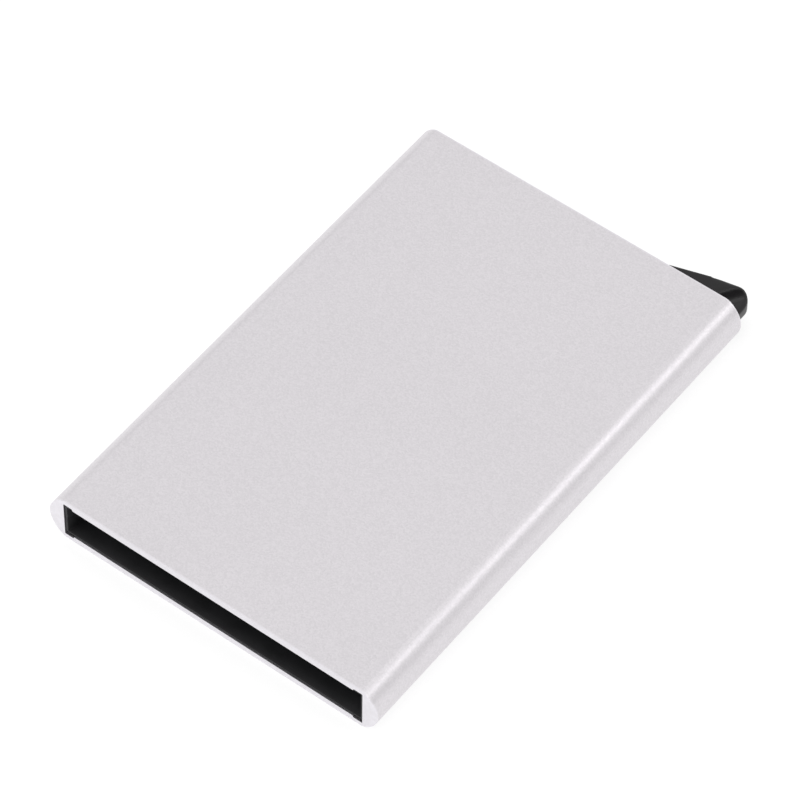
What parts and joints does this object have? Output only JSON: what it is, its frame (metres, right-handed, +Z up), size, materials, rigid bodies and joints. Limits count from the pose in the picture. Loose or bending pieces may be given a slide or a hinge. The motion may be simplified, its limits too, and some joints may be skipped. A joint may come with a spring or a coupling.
{
  "type": "card wallet",
  "caption": "Slim aluminium card case with an open card mouth and a sprung corner trigger whose stepped arm fans the cards out.",
  "frame": {"origin": "centre of the sleeve's flat bottom face", "axes": "+Y along the sleeve towards the trigger end, the card mouth faces -Y, +X towards the side that carries the trigger, +Z up through the flat faces"},
  "size_m": [0.0636, 0.1004, 0.0092],
  "materials": {
    "sleeve_metal": "bead-blasted and clear anodised",
    "cartridge_plastic": "moulded matte black",
    "trigger_plastic": "fine satin black",
    "steel": "ground and drawn",
    "brass": "turned",
    "felt": "pressed felt"
  },
  "bodies": {
    "case": {"outer_sleeve": "sleeve_metal", "cartridge_tray": "cartridge_plastic", "cartridge_lid": "cartridge_plastic", "cartridge_screws": "steel", "end_cap": "cartridge_plastic", "end_cap_screws": "steel", "pivot_pin": "steel", "return_spring": "steel", "side_spring_left": "steel", "side_spring_right": "steel", "brake_pad_top": "felt", "brake_pad_bottom": "felt"},
    "trigger": {"trigger_lever": "trigger_plastic", "pivot_bush": "brass"}
  },
  "joints": [
    {"name": "trigger_pivot", "type": "hinge", "parent": "case", "child": "trigger", "pos_m": [0.0238, 0.0415, 0.0046], "axis": [0, 0, 1], "range_deg": [0, 28], "stiffness_Nm_per_rad": 0.02, "springref_deg": -20.05, "deforming": ["return_spring"]}
  ]
}
